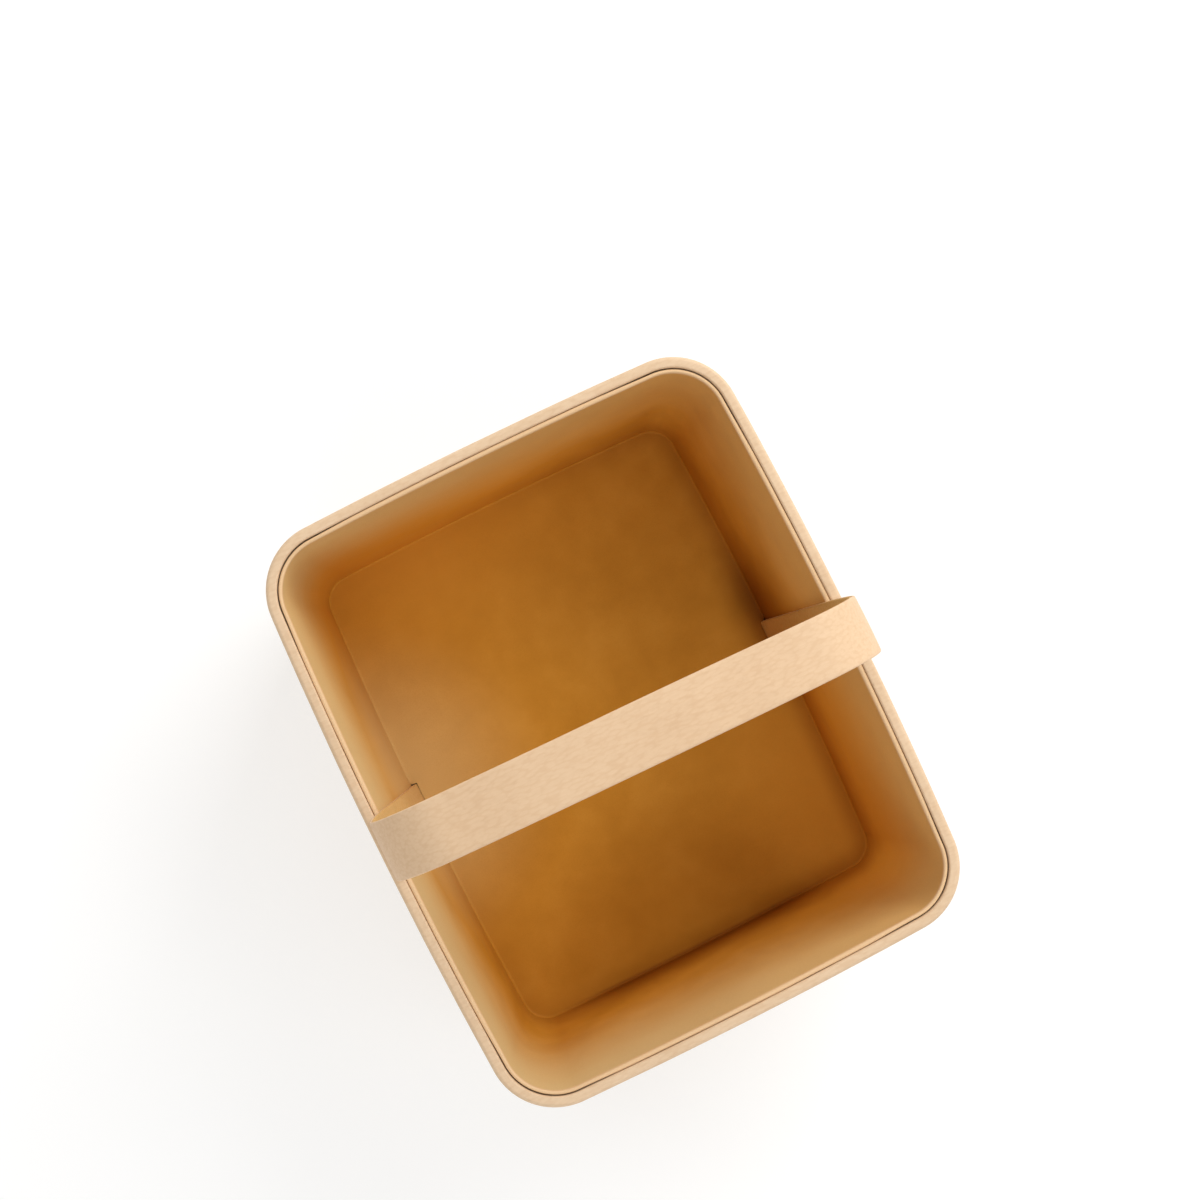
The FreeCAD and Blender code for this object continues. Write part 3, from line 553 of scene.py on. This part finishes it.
class Finish:
    """A material under construction.  A socket given as an input is linked to it."""

    def __init__(self, name, **shader):
        self.material = bpy.data.materials.new(name)
        self.material.use_nodes = True
        self.tree = self.material.node_tree
        self.shader = self.tree.nodes["Principled BSDF"]
        for key, value in shader.items():
            socket = key.replace("_", " ").title().replace("Ior", "IOR")
            self.shader.inputs[socket].default_value = value
        self.place = self.add("ShaderNodeTexCoord").outputs["Object"]

    def add(self, kind, inputs=None, **settings):
        node = self.tree.nodes.new(kind)
        for key, value in settings.items():
            setattr(node, key, value)
        for key, value in (inputs or {}).items():
            if isinstance(value, bpy.types.NodeSocket):
                self.tree.links.new(value, node.inputs[key])
            else:
                node.inputs[key].default_value = value
        return node

    def feed(self, name, socket):
        self.tree.links.new(socket, self.shader.inputs[name])

    def noise(self, scale, detail=2.0, vector=None, distortion=0.0):
        return self.add("ShaderNodeTexNoise", {
            "Vector": vector or self.place, "Scale": scale, "Detail": detail,
            "Distortion": distortion}).outputs["Fac"]

    def cells(self, scale, vector=None):
        return self.add("ShaderNodeTexVoronoi", {
            "Vector": vector or self.place, "Scale": scale}).outputs["Distance"]

    def stretched(self, scale, turn):
        """Coordinates drawn out along one direction, for streaks in the grain."""
        return self.add("ShaderNodeMapping", {
            "Vector": self.place, "Rotation": (0, 0, math.radians(turn)),
            "Scale": scale}).outputs["Vector"]

    def level(self, value, low, high, out_low=0.0, out_high=1.0):
        """The value carried evenly from one range to another, and held at its ends."""
        return self.add("ShaderNodeMapRange", {
            "Value": value, "From Min": low, "From Max": high,
            "To Min": out_low, "To Max": out_high}).outputs["Result"]

    def spread(self, noise, out_low=0.0, out_high=1.0):
        """A noise, which hardly leaves 0.3 to 0.7, drawn out to the given range."""
        return self.level(noise, 0.3, 0.7, out_low, out_high)

    def mixed(self, first, second, share):
        """Two noises added, the second with that share of the whole."""
        return self.maths("ADD", self.spread(first, 0.0, 1 - share),
                          self.spread(second, 0.0, share))

    def eased(self, value, low, high):
        """0 at low and 1 at high, easing in and out between them."""
        return self.add("ShaderNodeMapRange", {
            "Value": value, "From Min": low, "From Max": high},
            interpolation_type="SMOOTHSTEP").outputs["Result"]

    def distance(self, point, place=None):
        """How far this place, or another, is from a point."""
        return self.add("ShaderNodeVectorMath", {0: place or self.place, 1: point},
                        operation="DISTANCE").outputs["Value"]

    def patch(self, middle, outer, inner, most):
        """A soft round patch, up to that strength inside its inner reach."""
        return self.maths("MULTIPLY", self.eased(self.distance(middle), outer, inner), most)

    def split(self):
        """The place's three coordinates: across, along and height."""
        return self.add("ShaderNodeSeparateXYZ", {"Vector": self.place}).outputs

    def maths(self, operation, first, second):
        return self.add("ShaderNodeMath", {0: first, 1: second},
                        operation=operation).outputs["Value"]

    def ramp(self, factor, *colours):
        """Colours spread evenly over the factor from 0 to 1."""
        node = self.add("ShaderNodeValToRGB", {"Fac": factor})
        stops = node.color_ramp.elements
        while len(stops) < len(colours):
            stops.new(0.5)
        for k, colour in enumerate(colours):
            stops[k].position = k / (len(colours) - 1)
            stops[k].color = (*colour, 1)
        return node.outputs["Color"]

    def tint(self, base, colour, factor, blend="MULTIPLY"):
        """The base colour with another laid over it by that factor."""
        node = self.add("ShaderNodeMix", {"Factor": factor}, data_type="RGBA", blend_type=blend)
        self.tree.links.new(base, node.inputs["A"])
        node.inputs["B"].default_value = (*colour, 1)
        return node.outputs["Result"]

    def bump(self, height, depth, strength=1.0, under=None):
        inputs = {"Height": height, "Distance": depth, "Strength": strength}
        if under is not None:
            inputs["Normal"] = under
        return self.add("ShaderNodeBump", inputs).outputs["Normal"]


def grained_leather(name, tones, streak_turn, shine=0.25, painted_shade=False):
    """Vegetable-tanned cowhide: fine pebbled grain with fat wrinkles drawn out one way.

    It can be darker low down on the +X side: painted shade on the leg that faces away from the
    light."""
    skin = Finish(name, roughness=0.6, specular_ior_level=shine)
    drawn = skin.stretched((0.32, 1.0, 1.0), streak_turn)
    clouds = skin.noise(28, 3)
    streaks = skin.noise(520, 3, drawn, 0.6)
    pebbles = skin.cells(760, drawn)
    pores = skin.cells(1500)
    colour = skin.ramp(skin.mixed(clouds, streaks, 0.45), *tones)
    colour = skin.tint(colour, (0.92, 0.87, 0.82), skin.level(pebbles, 0.45, 0.75, 0.0, 0.5))
    # Painted shade: the +X leg's face darkened towards its foot.
    if painted_shade:
        across, _, height = skin.split()
        low = skin.maths("MULTIPLY", skin.eased(across, 60 * MM, HALF_WIDTH),
                         skin.eased(height, STRAP_TOP, 50 * MM))
        colour = skin.tint(colour, (0.62, 0.46, 0.26), low)
    skin.feed("Base Color", colour)
    skin.feed("Roughness", skin.spread(streaks, 0.66, 0.52))
    grain = skin.bump(pebbles, 0.10 * MM, 0.45)
    grain = skin.bump(streaks, 0.14 * MM, 0.4, grain)
    skin.feed("Normal", skin.bump(pores, 0.03 * MM, 0.3, grain))
    return skin.material


def paler_upwards(skin, colour, uneven):
    """Painted light on the lining: lit patches, paler high on the walls, a highlight on the lip.
    """
    across, along, height = skin.split()
    risen = skin.maths("ADD", height, uneven)
    aside = skin.maths("ADD", across, skin.maths("MULTIPLY", along, 0.35))
    pale_light = skin.patch(*PALE_LIGHT_PATCH)
    for patch in PAINTED_LIGHT_PATCHES:
        colour = skin.tint(colour, LINING_LIT, skin.patch(*patch), "MIX")
    # Painted light: paler up the walls, most on the -X side, which faces the light.
    climb = skin.maths("MULTIPLY", skin.eased(risen, WALL_TOP - PALE_DEPTH, WALL_TOP),
                       skin.level(aside, -HALF_WIDTH, HALF_WIDTH, 1.0, 0.42))
    colour = skin.tint(colour, LINING_PALE, skin.maths("MAXIMUM", pale_light, climb), "MIX")
    # Painted highlight along the lip.
    at_lip = skin.eased(height, WALL_TOP - LIP_PALE, WALL_TOP - MM)
    return skin.tint(colour, LINING_LIP, at_lip, "MIX")


def inside_foot(skin, across, along):
    """How far a place is inside the foot of the walls, which bow and have round corners."""
    past = []
    for here, other, half, radius in ((across, along, FOOT_WIDTH, SIDE_RADIUS),
                                      (along, across, FOOT_LENGTH, END_RADIUS)):
        bowed = skin.maths("MULTIPLY", skin.maths("MULTIPLY", other, other), 0.5 / radius)
        reach = skin.maths("ADD", skin.maths("ABSOLUTE", here, 0), bowed)
        past.append(skin.maths("SUBTRACT", reach, half - FOOT_ROUND))
    beyond = [skin.maths("MAXIMUM", value, 0) for value in past]
    corner = skin.add("ShaderNodeCombineXYZ", {"X": beyond[0], "Y": beyond[1]}).outputs[0]
    round_part = skin.distance((0, 0, 0), corner)
    straight = skin.maths("MINIMUM", skin.maths("MAXIMUM", *past), 0)
    return skin.maths("SUBTRACT", FOOT_ROUND, skin.maths("ADD", round_part, straight))


def darker_foot(skin, colour, uneven):
    """Painted shade on the lining where walls and floor meet, most along +X and at the -Y end."""
    across, along, height = skin.split()
    clear = inside_foot(skin, across, along)
    above = skin.maths("SUBTRACT", height, FLOOR_TOP)
    near_wall = skin.eased(clear, FOOT_EDGE, -2 * MM)
    stretch = skin.level(along, -HALF_LENGTH, 40 * MM, 1.1, 0.7)
    near_floor = skin.eased(skin.maths("MULTIPLY", skin.maths("ADD", above, uneven), stretch),
                            FOOT_BAND, 0)
    away = skin.maths("SUBTRACT", across, skin.maths("MULTIPLY", along, 0.5))
    # Painted shade, strongest on the +X side, away from the light.
    foot = skin.maths("MULTIPLY", near_wall, near_floor)
    foot = skin.maths("MULTIPLY", foot, skin.level(away, -HALF_WIDTH, HALF_WIDTH))
    colour = skin.tint(colour, (0.66, 0.52, 0.34), foot)
    # Painted shadow along the foot of the -Y wall, and a darker floor beside it.
    by_end = skin.patch(*END_PATCH)
    on_floor = skin.maths("MULTIPLY", clear, SHADE_LINE_HIGH / SHADE_LINE_WIDE)
    shade_line = skin.eased(skin.maths("MAXIMUM", on_floor, above), SHADE_LINE_HIGH, 0)
    colour = skin.tint(colour, (0.55, 0.42, 0.25), skin.maths("MULTIPLY", shade_line, by_end))
    floor_end = skin.maths("MULTIPLY", skin.eased(above, 10 * MM, 2 * MM), by_end)
    return skin.tint(colour, (0.82, 0.76, 0.62), floor_end)


def painted_leg_shadow(skin, colour):
    """The lining's colour, with a painted shadow beside the foot of the strap's +X leg."""
    scaled = skin.add("ShaderNodeVectorMath", {0: skin.place, 1: LEG_SPOT_SHAPE},
                      operation="MULTIPLY").outputs["Vector"]
    spot = skin.distance(LEG_SPOT * LEG_SPOT_SHAPE, scaled)
    return skin.tint(colour, (0.45, 0.33, 0.20), skin.eased(spot, LEG_SPOT_REACH, 0))


def lining_leather(name):
    """Smooth, buffed lining leather with a fine nap, uneven tone and painted light and shade."""
    skin = Finish(name, roughness=0.65, specular_ior_level=0.1)
    clouds = skin.noise(22, 4, distortion=0.4)
    patches = skin.noise(75, 3)
    nap = skin.noise(2200, 2)
    uneven = skin.spread(clouds, -6 * MM, 6 * MM)
    colour = skin.ramp(skin.mixed(clouds, patches, 0.4), *LINING_TONES)
    colour = paler_upwards(skin, colour, uneven)
    colour = darker_foot(skin, colour, uneven)
    colour = painted_leg_shadow(skin, colour)
    colour = skin.tint(colour, (0.93, 0.90, 0.86), skin.level(nap, 0.45, 0.65, 0.0, 0.7))
    skin.feed("Base Color", colour)
    skin.feed("Roughness", skin.spread(patches, 0.58, 0.68))
    relief = skin.bump(skin.noise(140, 2), 0.25 * MM, 0.25)
    skin.feed("Normal", skin.bump(nap, 0.05 * MM, 0.35, relief))
    return skin.material


def board(name, tones):
    """Grey-brown fibreboard or card: pressed fibres and darker flecks."""
    sheet = Finish(name, roughness=0.85, specular_ior_level=0.2)
    fibres = sheet.noise(900, 4, sheet.stretched((0.2, 1.0, 1.0), 20), 1.5)
    flecks = sheet.cells(260)
    colour = sheet.ramp(sheet.spread(fibres), *tones)
    sheet.feed("Base Color", sheet.tint(colour, (0.55, 0.45, 0.35),
                                        sheet.level(flecks, 0.10, 0.0, 0.0, 0.8)))
    sheet.feed("Normal", sheet.bump(fibres, 0.1 * MM, 0.5))
    return sheet.material


def steel(name, grey, streak_scale):
    """Brushed steel, with fine lines in its roughness."""
    metal = Finish(name, metallic=1.0, roughness=0.35)
    lines = metal.noise(streak_scale, 3, metal.stretched((0.05, 1.0, 1.0), 0))
    shade = [tuple(channel * share for channel in grey) for share in (0.85, 1.0)]
    metal.feed("Base Color", metal.ramp(metal.spread(lines), *shade))
    metal.feed("Roughness", metal.spread(lines, 0.28, 0.45))
    return metal.material


def dress(piece, material):
    """Gives a piece or CAD node its one material."""
    piece.data.materials.clear()
    piece.data.materials.append(material)


# ---------------------------------------------------------------- the object
def build_object():
    cover = grained_leather("cover_leather", COVER_TONES, 60)
    strap = grained_leather("strap_leather", STRAP_TONES, 26)
    # The strap's back carries painted shade on its +X leg.
    strap_back = grained_leather("strap_back_leather", STRAP_BACK_TONES, 26, 0.1, True)
    lining = lining_leather("liner_leather")
    under = grained_leather("underside_leather", UNDERSIDE_TONES, 0)
    for piece, material in (
            (cover_skin(), cover), (liner_skin(), lining), (floor_skin(), lining),
            (underside_skin(), under),
            (strap_skin("strap_outer_skin", "handle_outer_leather", False), strap),
            (strap_skin("strap_inner_skin", "handle_inner_leather", True), strap_back),
            (strap_strip(), steel("spring_steel", SPRING_GREY, 2500))):
        dress(piece, material)
        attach(piece, "root")
    fibreboard = board("fibreboard", FIBREBOARD_TONES)
    card = board("card", CARD_TONES)
    inside = {"wall_board": fibreboard, "wall_board_splice": fibreboard,
              "base_board": fibreboard, "floor_board": fibreboard,
              "liner_board": card, "base_filler": card,
              "handle_rivets": steel("rivet_steel", RIVET_GREY, 4000)}
    for name, material in inside.items():
        dress(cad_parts[name], material)


# ---------------------------------------------------------------- the studio
CAMERA_FROM = Vector((-42.8, 48.2, 977.3)) * MM       # both from the middle of the rim
CAMERA_TO = Vector((20.5, 57.9, 0)) * MM
CAMERA_TURN = math.radians(26.24)     # the picture's upward direction, from +Y towards +X
LENS = 62.1
SENSOR = 36.0

FLOOR_GREY = 0.52
FLOOR_GLOW = 0.51
FLOOR_REACH = 6.0

# Name, azimuth, elevation, distance, size and watts.
LIGHTS = (("key", 61, 34, 2.2, 1.5, 35), ("fill_back", 341, 38, 2.2, 1.4, 8),
          ("fill_front", 206, 30, 2.2, 1.4, 10), ("fill_right", 150, 50, 2.2, 1.4, 8))
WORLD_LIGHT = 0.48


def build_camera():
    """The camera above the bin's mouth, turned so that the bin stands on a corner."""
    rim_centre = Vector((0, 0, WALL_TOP))
    place = rim_centre + CAMERA_FROM
    ahead = (rim_centre + CAMERA_TO - place).normalized()
    upward = Vector((math.sin(CAMERA_TURN), math.cos(CAMERA_TURN), 0))
    right = ahead.cross(upward).normalized()
    up = right.cross(ahead)
    data = bpy.data.cameras.new("camera")
    data.lens, data.sensor_width = LENS, SENSOR
    data.clip_start, data.clip_end = 0.05, 50
    camera = bpy.data.objects.new("camera", data)
    camera.matrix_world = Matrix.LocRotScale(
        place, Matrix((right, up, -ahead)).transposed().to_quaternion(), None)
    bpy.context.scene.collection.objects.link(camera)
    bpy.context.scene.camera = camera


def build_floor():
    """A plain pale floor, faintly luminous so that shadows on it stay light."""
    paint = Finish("pale_floor", roughness=0.9, specular_ior_level=0.0)
    paint.shader.inputs["Base Color"].default_value = (FLOOR_GREY, FLOOR_GREY, FLOOR_GREY, 1)
    paint.shader.inputs["Emission Color"].default_value = (1, 1, 0.99, 1)
    paint.shader.inputs["Emission Strength"].default_value = FLOOR_GLOW
    mesh = bpy.data.meshes.new("floor")
    corners = [(x * FLOOR_REACH, y * FLOOR_REACH, 0) for x, y in
               ((-1, -1), (1, -1), (1, 1), (-1, 1))]
    mesh.from_pydata(corners, [], [(0, 1, 2, 3)])
    floor = bpy.data.objects.new("floor", mesh)
    bpy.context.scene.collection.objects.link(floor)
    dress(floor, paint.material)
    floor.location.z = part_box("underside_cover")[0].z - 0.05 * MM


def area_light(name, azimuth, elevation, distance, size, watts):
    """A square soft light that faces the bin.  Azimuth is from +Y towards +X."""
    data = bpy.data.lights.new(name, "AREA")
    data.size, data.energy = size, watts
    light = bpy.data.objects.new(name, data)
    around, above = math.radians(azimuth), math.radians(elevation)
    way = Vector((math.sin(around) * math.cos(above), math.cos(around) * math.cos(above),
                  math.sin(above)))
    target = Vector((0, 0, WALL_TOP / 2))
    light.location = target + way * distance
    light.rotation_mode = "QUATERNION"
    light.rotation_quaternion = way.to_track_quat("Z", "Y")
    bpy.context.scene.collection.objects.link(light)


def build_lights():
    world = bpy.data.worlds.new("studio")
    world.use_nodes = True
    sky = world.node_tree.nodes["Background"].inputs
    sky["Color"].default_value = (1, 1, 1, 1)
    sky["Strength"].default_value = WORLD_LIGHT
    bpy.context.scene.world = world
    for light in LIGHTS:
        area_light(*light)
    bpy.context.scene.view_settings.view_transform = "Standard"


build_camera()
build_floor()
build_lights()
build_object()
